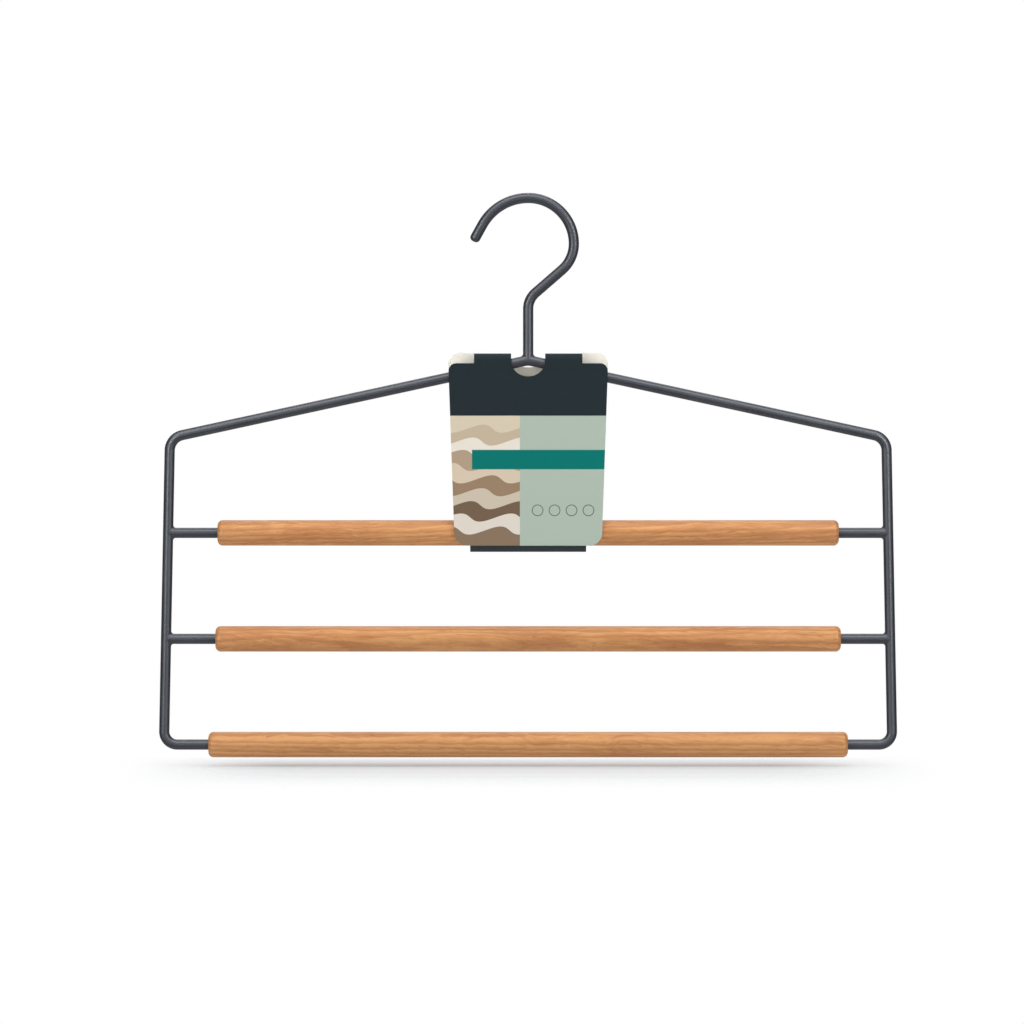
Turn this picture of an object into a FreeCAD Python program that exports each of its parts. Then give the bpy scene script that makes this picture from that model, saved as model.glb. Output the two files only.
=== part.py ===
import FreeCAD, Part
import math
import os

import Sketcher
from FreeCAD import Placement, Rotation, Vector

# Trouser hanger: a welded wire frame with a hook, three turning wooden bars and a card sleeve.
# Millimetres. +Z is up, +X is to the right and the front faces -Y.
# The origin is the inside of the hook's crown, where the hanger rests on its rail.

SIZES = {
    # Wire
    "wire_diameter": 5.4,
    "saddle_stop": 1.0,           # a saddle-cut end stops this far from the crossing wire's axis
    "weld_leg": 1.16,             # reach of a weld bead along each wire
    "weld_depth": 0.86,           # depth of a bead's centre below each wire's surface
    # Hook
    "hook_radius": 21.0,          # inside of the bowl
    "throat_radius": 18.0,        # tighter bend where the bowl runs into the diagonal
    "diagonal_angle": 49.0,       # lean of the diagonal from the upright stem
    "stem_bend_radius": 11.0,
    "nose_radius": 27.2,          # wider bend that opens the mouth
    "nose_angle": 61.0,           # turn of that bend from the crown
    "nose_straight": 9.7,
    "tip_round": 2.2,
    # Frame
    "apex_drop": 81.5,            # crown to the point where the shoulders meet
    "apex_bend_radius": 10.0,
    "shoulder_width": 372.6,      # between the upper corners
    "shoulder_drop": 40.4,        # apex to the upper corners
    "shoulder_bend_radius": 8.3,
    "base_width": 380.0,          # between the lower corners
    "base_bend_radius": 5.5,
    "top_bar_drop": 90.0,         # apex to the top bar's axis
    "bar_pitch": 55.4,
    # Wooden bars
    "bar_diameter": 13.3,
    "bar_inset": 25.8,            # side wire to the end of an upper bar
    "base_bar_inset": 23.2,       # lower corner to the end of the bottom bar
    "bar_end_round": 3.2,
    "bore_depth": 24.0,
    "bore_clearance": 0.08,
    "bore_chamfer": 0.3,
    "drill_angle": 118.0,
    "end_play": 1.0,              # wire end to the bottom of its bore
    # Card sleeve
    "card_thickness": 0.5,
    "card_clearance": 0.45,
    "card_rise": 3.5,             # apex to the top of the fold
    "strap_drop": 9.9,            # top bar's axis to the underside of the strap
    "panel_top_width": 83.0,
    "panel_bottom_width": 76.4,
    "panel_height": 94.6,
    "panel_top_round": 4.2,
    "panel_bottom_round": 6.2,
    "tab_drop": 5.1,              # top of the fold to the front panel's upper edge
    "tab_width": 19.3,
    "notch_width": 17.7,
    "front_notch_depth": 11.9,    # below the top of the fold
    "front_notch_round": 7.6,
    "back_notch_depth": 6.4,
    "back_notch_round": 2.4,
    "back_top_round": 6.2,
    "strap_width": 60.3,
    "strap_lap": 12.0,
}

# Formulas on the driving sizes. Heights are Z, and panel heights start at the fold's centre line.
DERIVED = {
    "wire_radius": "sizes.wire_diameter / 2",
    "bowl_radius": "sizes.hook_radius + wire_radius",
    "apex_height": "-sizes.apex_drop",
    "shoulder_height": "apex_height - sizes.shoulder_drop",
    "top_bar_height": "apex_height - sizes.top_bar_drop",
    "middle_bar_height": "top_bar_height - sizes.bar_pitch",
    "bottom_bar_height": "middle_bar_height - sizes.bar_pitch",
    "shoulder_half": "sizes.shoulder_width / 2",
    "base_half": "sizes.base_width / 2",
    "side_splay": "(base_half - shoulder_half) / (shoulder_height - bottom_bar_height)",
    "top_side": "shoulder_half + side_splay * (shoulder_height - top_bar_height)",
    "middle_side": "shoulder_half + side_splay * (shoulder_height - middle_bar_height)",
    "bar_radius": "sizes.bar_diameter / 2",
    "bore_radius": "wire_radius + sizes.bore_clearance",
    "drill_point": "bore_radius / tan(sizes.drill_angle / 2)",
    "end_round": "min(sizes.bar_end_round; 0.95 * (bar_radius - bore_radius - sizes.bore_chamfer))",
    "top_bar_half": "top_side - sizes.bar_inset",
    "middle_bar_half": "middle_side - sizes.bar_inset",
    "bottom_bar_half": "base_half - sizes.base_bar_inset",
    "top_wire_end": "top_bar_half - sizes.bore_depth + sizes.end_play",
    "middle_wire_end": "middle_bar_half - sizes.bore_depth + sizes.end_play",
    "bottom_wire_end": "bottom_bar_half - sizes.bore_depth + sizes.end_play",
    "bead_radius": "sqrt(pow(sizes.weld_depth; 2) + pow(sizes.weld_depth + sizes.weld_leg; 2))",
    "bead_offset": "wire_radius - sizes.weld_depth",
    "fold_radius": "wire_radius + sizes.card_clearance",
    "fold_outside": "fold_radius + sizes.card_thickness",
    "fold_height": "apex_height + sizes.card_rise - fold_outside",
    "strap_radius": "bar_radius + sizes.card_clearance",
    "strap_outside": "strap_radius + sizes.card_thickness",
    "strap_height": "top_bar_height - sizes.strap_drop + strap_outside",
    "card_span": "fold_height - strap_height",
    "front_tilt": "asin((strap_outside - fold_radius) / card_span)",
    "back_tilt": "asin((strap_radius - fold_radius) / card_span)",
    "panel_top": "fold_outside - sizes.tab_drop",
    "panel_bottom": "panel_top - sizes.panel_height",
    "notch_half": "sizes.notch_width / 2",
    "tab_edge": "notch_half + sizes.tab_width",
    "front_notch": "fold_outside - sizes.front_notch_depth",
    "back_notch": "fold_outside - sizes.back_notch_depth",
    "front_reach": "card_span * cos(front_tilt)",
    "back_reach": "card_span * cos(back_tilt)",
}

doc = FreeCAD.newDocument("trouser_hanger")


def fill_sheet(name, cells):
    """Write one named cell to each row of a new sheet."""
    sheet = doc.addObject("Spreadsheet::Sheet", name)
    for row, (alias, content) in enumerate(cells.items(), start=1):
        sheet.set(f"A{row}", alias)
        sheet.set(f"B{row}", content)
        sheet.setAlias(f"B{row}", alias)
    doc.recompute()
    return sheet


sizes = fill_sheet("sizes", {alias: str(number) for alias, number in SIZES.items()})
derived = fill_sheet("derived", {alias: "=" + formula for alias, formula in DERIVED.items()})


def value(formula):
    """Work out a formula on the sheets as a plain number, with angles in degrees."""
    result = derived.evalExpression(formula)
    return float(getattr(result, "Value", result))


def bind(target, formulas):
    """Tie properties of an object to formulas on the sheets."""
    for path, formula in formulas.items():
        target.setExpression(path, formula)


def negative(formula):
    """Give the formula of the same size on the other side of the middle."""
    return f"-({formula})"


def mirrored(corners):
    """Add the left half of an outline to the corners of its right half."""
    return corners + [(negative(across), up, rounding) for across, up, rounding in reversed(corners)]


def new_body(label):
    """Start a piece that is built up of features."""
    body = doc.addObject("PartDesign::Body", label)
    body.Label = label
    return body


def new_sketch(body, name, plane):
    """Put an empty sketch on one of the body's own origin planes."""
    sketch = body.newObject("Sketcher::SketchObject", name)
    support = next(item for item in body.Origin.OriginFeatures if item.Role == plane)
    sketch.AttachmentSupport = (support, [""])
    sketch.MapMode = "FlatFace"
    return sketch


def dimension(sketch, name, formula, kind, *where):
    """Add a named dimension to a sketch and tie it to a formula."""
    index = sketch.addConstraint(Sketcher.Constraint(kind, *where, value(formula)))
    sketch.renameConstraint(index, name)
    sketch.setExpression(f"Constraints.{name}", formula)


def place_point(sketch, name, geometry, position, across, up):
    """Dimension a point of a sketch from the origin."""
    dimension(sketch, f"{name}_across", across, "DistanceX", -1, 1, geometry, position)
    dimension(sketch, f"{name}_up", up, "DistanceY", -1, 1, geometry, position)


def draw_rounded(sketch, corners, closed):
    """Draw straight runs between corners, with a tangent arc at each corner that has a radius."""
    points = [Vector(value(across), value(up), 0) for across, up, rounding in corners]
    count = len(points)
    runs = count if closed else count - 1
    headings = [(points[(run + 1) % count] - points[run]).normalize() for run in range(runs)]
    turning = range(count) if closed else range(1, count - 1)
    rounded = [index for index in turning if corners[index][2]]
    trims = [0.0] * count
    for index in rounded:
        turn = headings[index - 1].getAngle(headings[index % runs])
        trims[index] = value(corners[index][2]) * math.tan(turn / 2)
    for run in range(runs):
        start = points[run] + headings[run] * trims[run]
        end = points[(run + 1) % count] - headings[run] * trims[(run + 1) % count]
        sketch.addGeometry(Part.LineSegment(start, end))
    for index, (across, up, rounding) in enumerate(corners):
        name = f"corner_{index}"
        before = (index - 1) % runs
        after = index % runs
        if index in rounded:
            round_corner(sketch, points[index], headings[before], headings[after], trims[index],
                         before, after, rounding, name)
            corner = sketch.addGeometry(Part.Point(points[index]), True)
            place_point(sketch, name, corner, 1, across, up)
            sketch.addConstraint(Sketcher.Constraint("PointOnObject", corner, 1, before))
            sketch.addConstraint(Sketcher.Constraint("PointOnObject", corner, 1, after))
        elif index in turning:
            sketch.addConstraint(Sketcher.Constraint("Coincident", before, 2, after, 1))
            place_point(sketch, name, after, 1, across, up)
        elif index == 0:
            place_point(sketch, name, 0, 1, across, up)
        else:
            place_point(sketch, name, runs - 1, 2, across, up)


def round_corner(sketch, corner, heading_in, heading_out, trim, before, after, rounding, name):
    """Join two runs of a sketch with a tangent arc."""
    radius = value(rounding)
    start = corner - heading_in * trim
    left_turn = heading_in.cross(heading_out).z > 0
    side = 1 if left_turn else -1
    centre = start + Vector(-heading_in.y, heading_in.x, 0) * radius * side
    end = corner + heading_out * trim
    first, last = (start, end) if left_turn else (end, start)
    arc = sketch.addGeometry(arc_between(centre, radius, first, last))
    into, out = (1, 2) if left_turn else (2, 1)
    sketch.addConstraint(Sketcher.Constraint("Tangent", before, 2, arc, into))
    sketch.addConstraint(Sketcher.Constraint("Tangent", arc, out, after, 1))
    dimension(sketch, f"{name}_round", rounding, "Radius", arc)


def arc_between(centre, radius, first, last):
    """Make the arc that turns to the left from the first point to the last."""
    start_angle = math.atan2(first.y - centre.y, first.x - centre.x)
    end_angle = math.atan2(last.y - centre.y, last.x - centre.x)
    if end_angle <= start_angle:
        end_angle += 2 * math.pi
    return Part.ArcOfCircle(Part.Circle(centre, Vector(0, 0, 1), radius), start_angle, end_angle)


def draw_wire_section(body, name, plane, offset, across="0", up="0"):
    """Draw the round section of the wire on a plane moved along its normal."""
    sketch = new_sketch(body, name, plane)
    centre = Vector(value(across), value(up), 0)
    circle = sketch.addGeometry(Part.Circle(centre, Vector(0, 0, 1), value("derived.wire_radius")))
    place_point(sketch, "centre", circle, 3, across, up)
    dimension(sketch, "size", "derived.wire_radius", "Radius", circle)
    sketch.setExpression("AttachmentOffset.Base.z", offset)
    return sketch


def sweep(body, name, section, path):
    """Carry a section along a path sketch."""
    pipe = body.newObject("PartDesign::AdditivePipe", name)
    pipe.Profile = section
    pipe.Spine = path
    doc.recompute()
    return pipe


def make_frame_wire():
    """One bent wire: bottom end, side, shoulder, apex, and the same again on the other side."""
    body = new_body("frame_wire")
    path = new_sketch(body, "frame_path", "XZ_Plane")
    right = [
        ("derived.bottom_wire_end", "derived.bottom_bar_height", None),
        ("derived.base_half", "derived.bottom_bar_height", "sizes.base_bend_radius"),
        ("derived.shoulder_half", "derived.shoulder_height", "sizes.shoulder_bend_radius"),
    ]
    both = mirrored(right)
    apex = ("0", "derived.apex_height", "sizes.apex_bend_radius")
    draw_rounded(path, both[:3] + [apex] + both[3:], closed=False)
    section = draw_wire_section(body, "frame_section", "YZ_Plane", "derived.bottom_wire_end",
                                up="derived.bottom_bar_height")
    sweep(body, "frame_sweep", section, path)
    return body


def draw_hook_path(body):
    """Stem, stem bend, diagonal, throat, bowl, nose bend and straight nose, each tangent to the next."""
    path = new_sketch(body, "hook_path", "XZ_Plane")
    lean = math.radians(value("sizes.diagonal_angle"))
    along = Vector(math.sin(lean), math.cos(lean), 0)
    outward = Vector(math.cos(lean), -math.sin(lean), 0)
    bowl = value("derived.bowl_radius")
    throat = value("sizes.throat_radius")
    bend = value("sizes.stem_bend_radius")
    nose = value("sizes.nose_radius")
    bowl_centre = Vector(0, -value("sizes.hook_radius"), 0)
    throat_centre = bowl_centre + Vector(bowl - throat, 0, 0)
    nose_centre = Vector(0, value("derived.wire_radius") - nose, 0)
    foot = Vector(0, value("derived.apex_height + sizes.saddle_stop"), 0)
    crown = bowl_centre + Vector(0, bowl, 0)
    widest = bowl_centre + Vector(bowl, 0, 0)
    diagonal_top = throat_centre + outward * throat
    meeting = diagonal_top - along * (diagonal_top.x / along.x)
    trim = bend * math.tan(lean / 2)
    stem_top = meeting - Vector(0, trim, 0)
    diagonal_foot = meeting + along * trim
    bend_centre = stem_top + Vector(bend, 0, 0)
    turned = math.radians(value("sizes.nose_angle"))
    nose_end = nose_centre + Vector(-math.sin(turned), math.cos(turned), 0) * nose
    tip = nose_end + Vector(-math.cos(turned), -math.sin(turned), 0) * value("sizes.nose_straight")
    path.addGeometry([
        Part.LineSegment(foot, stem_top),
        arc_between(bend_centre, bend, diagonal_foot, stem_top),
        Part.LineSegment(diagonal_foot, diagonal_top),
        arc_between(throat_centre, throat, diagonal_top, widest),
        arc_between(bowl_centre, bowl, widest, crown),
        arc_between(nose_centre, nose, crown, nose_end),
        Part.LineSegment(nose_end, tip),
    ])
    stem_line, stem_arc, diagonal_line, throat_arc, bowl_arc, nose_arc, nose_line = range(7)
    start, end, centre = 1, 2, 3
    joints = [
        (stem_line, end, stem_arc, end),
        (stem_arc, start, diagonal_line, start),
        (diagonal_line, end, throat_arc, start),
        (throat_arc, end, bowl_arc, start),
        (bowl_arc, end, nose_arc, start),
        (nose_arc, end, nose_line, start),
    ]
    for joint in joints:
        path.addConstraint(Sketcher.Constraint("Tangent", *joint))
    path.addConstraint(Sketcher.Constraint("Vertical", stem_line))
    path.addConstraint(Sketcher.Constraint("Horizontal", throat_arc, centre, bowl_arc, centre))
    path.addConstraint(Sketcher.Constraint("PointOnObject", nose_arc, centre, -2))
    place_point(path, "foot", stem_line, start, "0", "derived.apex_height + sizes.saddle_stop")
    place_point(path, "bowl", bowl_arc, centre, "0", "-sizes.hook_radius")
    dimension(path, "stem_bend", "sizes.stem_bend_radius", "Radius", stem_arc)
    dimension(path, "throat", "sizes.throat_radius", "Radius", throat_arc)
    dimension(path, "bowl", "derived.bowl_radius", "Radius", bowl_arc)
    dimension(path, "nose", "sizes.nose_radius", "Radius", nose_arc)
    dimension(path, "nose_length", "sizes.nose_straight", "Distance", nose_line)
    dimension(path, "diagonal_rise", "sizes.throat_radius * sin(sizes.diagonal_angle)", "DistanceY",
              throat_arc, start, throat_arc, centre)
    dimension(path, "nose_fall", "sizes.nose_straight * sin(sizes.nose_angle)", "DistanceY",
              nose_line, end, nose_line, start)
    return path, tip


def make_hook(frame_wire):
    """Bent hook wire with a rounded tip, its foot cut to a saddle that sits on the frame's apex."""
    body = new_body("hook_blank")
    path, tip = draw_hook_path(body)
    section = draw_wire_section(body, "hook_section", "XY_Plane", "derived.apex_height + sizes.saddle_stop")
    pipe = sweep(body, "hook_sweep", section, path)
    nose = Vector(tip.x, 0, tip.y)
    edges = pipe.Shape.Edges
    tip_edge = min(range(len(edges)), key=lambda index: edges[index].CenterOfMass.distanceToPoint(nose))
    rounding = body.newObject("PartDesign::Fillet", "hook_tip")
    rounding.Base = (pipe, [f"Edge{tip_edge + 1}"])
    bind(rounding, {"Radius": "min(sizes.tip_round; 0.95 * derived.wire_radius)"})
    return cut("hook", body, frame_wire)


def cut(label, base, tool):
    """Cut one object out of another."""
    result = doc.addObject("Part::Cut", label)
    result.Label = label
    result.Base = base
    result.Tool = tool
    return result


def make_stub(level, side, frame_wire):
    """Short cross wire from inside a bar's bore to its saddle on the side wire."""
    label = f"stub_{level}_{side}"
    blank = doc.addObject("Part::Cylinder", f"{label}_blank")
    inner = f"derived.{level}_wire_end"
    outer = f"(derived.{level}_side - sizes.saddle_stop)"
    start = inner if side == "right" else negative(outer)
    blank.Placement = Placement(Vector(), Rotation(Vector(0, 1, 0), 90))
    bind(blank, {
        "Radius": "derived.wire_radius",
        "Height": f"{outer} - {inner}",
        "Placement.Base.x": start,
        "Placement.Base.z": f"derived.{level}_bar_height",
    })
    return cut(label, blank, frame_wire)


def make_bead(name, across, up):
    """Ball of weld metal whose outer part shows in the corner between two wires."""
    ball = doc.addObject("Part::Sphere", name)
    bind(ball, {"Radius": "derived.bead_radius", "Placement.Base.x": across, "Placement.Base.z": up})
    return ball


def group(name, members):
    """Gather objects that stay separate solids."""
    gathered = doc.addObject("Part::Compound", name)
    gathered.Links = members
    return gathered


def make_hook_weld(frame_wire, hook):
    """Bead on each side of the hook's foot."""
    up = "derived.apex_height + derived.bead_offset"
    beads = [
        make_bead("hook_bead_left", "-derived.bead_offset", up),
        make_bead("hook_bead_right", "derived.bead_offset", up),
    ]
    return cut("hook_weld", cut("hook_weld_on_wire", group("hook_beads", beads), frame_wire), hook)


def make_stub_welds(frame_wire, stubs):
    """Beads above and below each stub where it meets the side wire."""
    beads = []
    for level in ("top", "middle"):
        inside = f"derived.{level}_side - derived.bead_offset"
        for side, across in (("left", negative(inside)), ("right", inside)):
            for place, sign in (("over", "+"), ("under", "-")):
                up = f"derived.{level}_bar_height {sign} derived.bead_offset"
                beads.append(make_bead(f"bead_{level}_{side}_{place}", across, up))
    on_wire = cut("stub_welds_on_wire", group("stub_beads", beads), frame_wire)
    return cut("stub_welds", on_wire, group("stubs", stubs))


def make_bar(level):
    """Turned wooden dowel with rounded ends and a drilled blind bore in each end."""
    label = f"{level}_bar"
    half = f"derived.{level}_bar_half"
    bore_end = f"({half} - sizes.bore_depth)"
    body = new_body(label)
    profile = new_sketch(body, f"{label}_profile", "XZ_Plane")
    right = [
        (f"{bore_end} - derived.drill_point", "0", None),
        (bore_end, "derived.bore_radius", None),
        (f"{half} - sizes.bore_chamfer", "derived.bore_radius", None),
        (half, "derived.bore_radius + sizes.bore_chamfer", None),
        (half, "derived.bar_radius", "derived.end_round"),
    ]
    draw_rounded(profile, mirrored(right), closed=True)
    turned = body.newObject("PartDesign::Revolution", f"{label}_turned")
    turned.Profile = profile
    turned.ReferenceAxis = (profile, ["H_Axis"])
    turned.Angle = 360
    bind(body, {"Placement.Base.z": f"derived.{level}_bar_height"})
    return body


def draw_panel(body, name, corners, tilt, inside, leans_back):
    """Draw a panel's outline on a plane that touches the fold's round and leans to the strap's."""
    sketch = new_sketch(body, name, "XZ_Plane")
    draw_rounded(sketch, corners, closed=True)
    axis = Vector(-1, 0, 0) if leans_back else Vector(1, 0, 0)
    side = "" if leans_back else "-"
    sketch.AttachmentOffset = Placement(Vector(), Rotation(axis, value(tilt)))
    bind(sketch, {
        "AttachmentOffset.Base.y": f"derived.fold_height + {inside} * sin({tilt})",
        "AttachmentOffset.Base.z": f"{side}{inside} * cos({tilt})",
        "AttachmentOffset.Rotation.Angle": tilt,
    })
    return sketch


def pad(body, name, sketch, length, reverse=False, midplane=False):
    """Give a sketch a thickness along its normal."""
    solid = body.newObject("PartDesign::Pad", name)
    solid.Profile = sketch
    solid.Reversed = reverse
    solid.Midplane = midplane
    bind(solid, {"Length": length})
    return solid


def draw_fold(body, name, height, radius, over_top):
    """Draw the ring sector of a rounded fold between the tilted front and back panels."""
    sketch = new_sketch(body, name, "YZ_Plane")
    inner = value(radius)
    outer = value(f"{radius} + sizes.card_thickness")
    centre = Vector(0, value(height), 0)
    front_angle = math.radians(180 - value("derived.front_tilt"))
    back_angle = math.radians(value("derived.back_tilt"))
    front = Vector(math.cos(front_angle), math.sin(front_angle), 0)
    back = Vector(math.cos(back_angle), math.sin(back_angle), 0)
    first, last = (back, front) if over_top else (front, back)
    sketch.addGeometry([
        arc_between(centre, inner, centre + first * inner, centre + last * inner),
        arc_between(centre, outer, centre + first * outer, centre + last * outer),
        Part.LineSegment(centre + first * inner, centre + first * outer),
        Part.LineSegment(centre + last * inner, centre + last * outer),
    ])
    inner_arc, outer_arc, first_line, last_line = range(4)
    start, end, middle = 1, 2, 3
    for line, arc_end in ((first_line, start), (last_line, end)):
        sketch.addConstraint(Sketcher.Constraint("Coincident", line, start, inner_arc, arc_end))
        sketch.addConstraint(Sketcher.Constraint("Coincident", line, end, outer_arc, arc_end))
        sketch.addConstraint(Sketcher.Constraint("PointOnObject", inner_arc, middle, line))
    sketch.addConstraint(Sketcher.Constraint("Coincident", inner_arc, middle, outer_arc, middle))
    place_point(sketch, "centre", inner_arc, middle, "0", height)
    dimension(sketch, "inside", radius, "Radius", inner_arc)
    dimension(sketch, "outside", f"{radius} + sizes.card_thickness", "Radius", outer_arc)
    front_line, back_line = (last_line, first_line) if over_top else (first_line, last_line)
    for name, line, tilt in (("front", front_line, "front_tilt"), ("back", back_line, "back_tilt")):
        dimension(sketch, f"{name}_rise", f"sizes.card_thickness * sin(derived.{tilt})", "DistanceY",
                  line, start, line, end)
    return sketch


def make_display_card():
    """Folded card: tapered front, two tabs over the top, back panel and a strap glued behind the front."""
    body = new_body("display_card")
    front = [
        ("sizes.panel_bottom_width / 2", "derived.panel_bottom", "sizes.panel_bottom_round"),
        ("sizes.panel_top_width / 2", "derived.panel_top", "sizes.panel_top_round"),
        ("derived.tab_edge", "derived.panel_top", None),
        ("derived.tab_edge", "0", None),
        ("derived.notch_half", "0", None),
        ("derived.notch_half", "derived.front_notch", "sizes.front_notch_round"),
    ]
    front_sketch = draw_panel(body, "front_outline", mirrored(front), "derived.front_tilt",
                              "derived.fold_radius", leans_back=True)
    pad(body, "front_panel", front_sketch, "sizes.card_thickness")
    fold = draw_fold(body, "tab_section", "derived.fold_height", "derived.fold_radius", over_top=True)
    bind(fold, {"AttachmentOffset.Base.z": "derived.notch_half"})
    right_tab = pad(body, "right_tab", fold, "sizes.tab_width")
    tabs = body.newObject("PartDesign::Mirrored", "both_tabs")
    tabs.Originals = [right_tab]
    tabs.MirrorPlane = (next(item for item in body.Origin.OriginFeatures if item.Role == "YZ_Plane"), [""])
    body.Tip = tabs
    back = [
        ("sizes.panel_bottom_width / 2", "-derived.back_reach", "sizes.panel_bottom_round"),
        ("sizes.panel_top_width / 2", "derived.fold_outside", "sizes.back_top_round"),
        ("derived.tab_edge", "derived.fold_outside", None),
        ("derived.tab_edge", "0", None),
        ("derived.notch_half", "0", None),
        ("derived.notch_half", "derived.back_notch", "sizes.back_notch_round"),
    ]
    back_sketch = draw_panel(body, "back_outline", mirrored(back), "derived.back_tilt",
                             "derived.fold_radius", leans_back=False)
    pad(body, "back_panel", back_sketch, "sizes.card_thickness", reverse=True)
    wrap = draw_fold(body, "strap_section", "derived.strap_height", "derived.strap_radius", over_top=False)
    pad(body, "strap", wrap, "sizes.strap_width", midplane=True)
    lap = [
        ("sizes.strap_width / 2", "-derived.front_reach", None),
        ("sizes.strap_width / 2", "sizes.strap_lap - derived.front_reach", None),
    ]
    lap_sketch = draw_panel(body, "lap_outline", mirrored(lap), "derived.front_tilt",
                            "derived.fold_radius", leans_back=True)
    pad(body, "strap_lap", lap_sketch, "sizes.card_thickness", reverse=True)
    return body


def make_pieces():
    """Build every piece of the hanger in the order in which it is put together."""
    frame_wire = make_frame_wire()
    hook = make_hook(frame_wire)
    stubs = [make_stub(level, side, frame_wire) for level in ("top", "middle") for side in ("left", "right")]
    welds = [make_hook_weld(frame_wire, hook), make_stub_welds(frame_wire, stubs)]
    bars = [make_bar(level) for level in ("top", "middle", "bottom")]
    return [frame_wire, hook, *stubs, *welds, *bars, make_display_card()]


pieces = make_pieces()
doc.recompute()
failed = [item.Name for item in doc.Objects if {"Invalid", "Error"} & set(item.State)]
if failed:
    raise RuntimeError("not built: " + ", ".join(failed))
for piece in pieces:
    if piece.Shape.isNull() or not piece.Shape.isValid():
        raise RuntimeError("bad shape: " + piece.Label)
os.makedirs("parts", exist_ok=True)
for piece in pieces:
    piece.Shape.exportStep(f"parts/{piece.Label}.step")
    print(piece.Label, len(piece.Shape.Solids), round(piece.Shape.Volume, 2))
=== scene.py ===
import logging
import math
from dataclasses import dataclass
from enum import Enum
from typing import Callable, Iterable, Mapping, Optional, Sequence, Union

import bmesh
import bpy
import numpy as np
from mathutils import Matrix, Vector


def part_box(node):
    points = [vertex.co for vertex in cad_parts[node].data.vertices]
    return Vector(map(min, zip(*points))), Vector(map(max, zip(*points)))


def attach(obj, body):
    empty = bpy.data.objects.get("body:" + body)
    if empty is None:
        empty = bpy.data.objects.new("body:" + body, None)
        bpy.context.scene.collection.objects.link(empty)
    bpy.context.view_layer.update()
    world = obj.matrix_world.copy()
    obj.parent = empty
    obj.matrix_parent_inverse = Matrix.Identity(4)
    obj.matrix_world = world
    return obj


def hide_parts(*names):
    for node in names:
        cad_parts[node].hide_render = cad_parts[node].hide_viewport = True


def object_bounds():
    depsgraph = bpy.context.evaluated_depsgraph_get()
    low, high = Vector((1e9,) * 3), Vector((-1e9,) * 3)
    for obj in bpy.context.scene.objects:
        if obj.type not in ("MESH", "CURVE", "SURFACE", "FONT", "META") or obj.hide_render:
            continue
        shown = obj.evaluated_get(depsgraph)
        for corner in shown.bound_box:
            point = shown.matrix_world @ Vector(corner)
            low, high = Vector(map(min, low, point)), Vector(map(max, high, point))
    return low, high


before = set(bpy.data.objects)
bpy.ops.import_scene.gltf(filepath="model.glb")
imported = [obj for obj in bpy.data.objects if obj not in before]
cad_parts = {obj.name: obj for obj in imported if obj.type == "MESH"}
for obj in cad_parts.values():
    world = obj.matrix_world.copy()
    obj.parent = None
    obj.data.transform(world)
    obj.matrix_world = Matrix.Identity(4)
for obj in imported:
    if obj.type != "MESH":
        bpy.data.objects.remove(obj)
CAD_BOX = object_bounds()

LOG = logging.getLogger("trouser_hanger")
# A millimetre in metres
MM = 0.001
# Depth of each bar's bores in millimetres
BORE_DEPTH = 24.0
# Angle in degrees past which an edge stays sharp
CREASE_ANGLE = 40.0
QUARTER_TURN = math.pi / 2.0
Array = np.ndarray
Pair = tuple[float, float]
Triple = tuple[float, float, float]
Colour = tuple[float, float, float, float]


class Side(Enum):
    """The two sides of the hanger, as the sign of X."""

    LEFT = -1
    RIGHT = 1


class Tier(Enum):
    """The three bars, by the CAD node and the body of each."""

    TOP = ("top_bar", "upper_bar")
    MIDDLE = ("middle_bar", "centre_bar")
    BOTTOM = ("bottom_bar", "lower_bar")

    @property
    def node(self) -> str:
        """Name of the bar's CAD node."""
        return self.value[0]

    @property
    def body(self) -> str:
        """Name of the body that the bar belongs to."""
        return self.value[1]

    @property
    def axis(self) -> float:
        """Height of the bar's axis in millimetres, from its CAD node."""
        low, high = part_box(self.node)
        return round((low.z + high.z) / 2.0 / MM, 3)

    @property
    def half(self) -> float:
        """Half the bar's length in millimetres, from its CAD node."""
        low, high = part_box(self.node)
        return round((high.x - low.x) / 2.0 / MM, 3)


class BoardFace(Enum):
    """Material slots of the card sleeve's board."""

    PRINT = 0
    INSIDE = 1
    EDGE = 2


class Slot(Enum):
    """Material slots of the record."""

    WIRE = "wire_coat"
    WOOD = "bar_wood"
    CARD = "printed_card"


def screen_colour(red: int, green: int, blue: int) -> Colour:
    """Turn an eight-bit screen colour into a linear one.

    Args:
        red: Red from 0 to 255.
        green: Green from 0 to 255.
        blue: Blue from 0 to 255.

    Returns:
        The linear colour with full alpha, by the usual screen curve.
    """
    share = np.array((red, green, blue)) / 255.0
    linear = np.where(share <= 0.04045, share / 12.92, ((share + 0.055) / 1.055) ** 2.4)
    return (float(linear[0]), float(linear[1]), float(linear[2]), 1.0)


def math_operator(operation: str, swapped: bool = False) -> Callable[["Signal", "Input"], "Signal"]:
    """Make an operator that adds a Math node.

    Args:
        operation: The Math node's operation.
        swapped: Whether the other value comes first.

    Returns:
        The operator's method.
    """

    def apply(self: "Signal", value: "Input") -> "Signal":
        """Put both values into the node, in order."""
        pair = (value, self) if swapped else (self, value)
        return self.graph.math(operation, *pair)

    return apply


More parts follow.
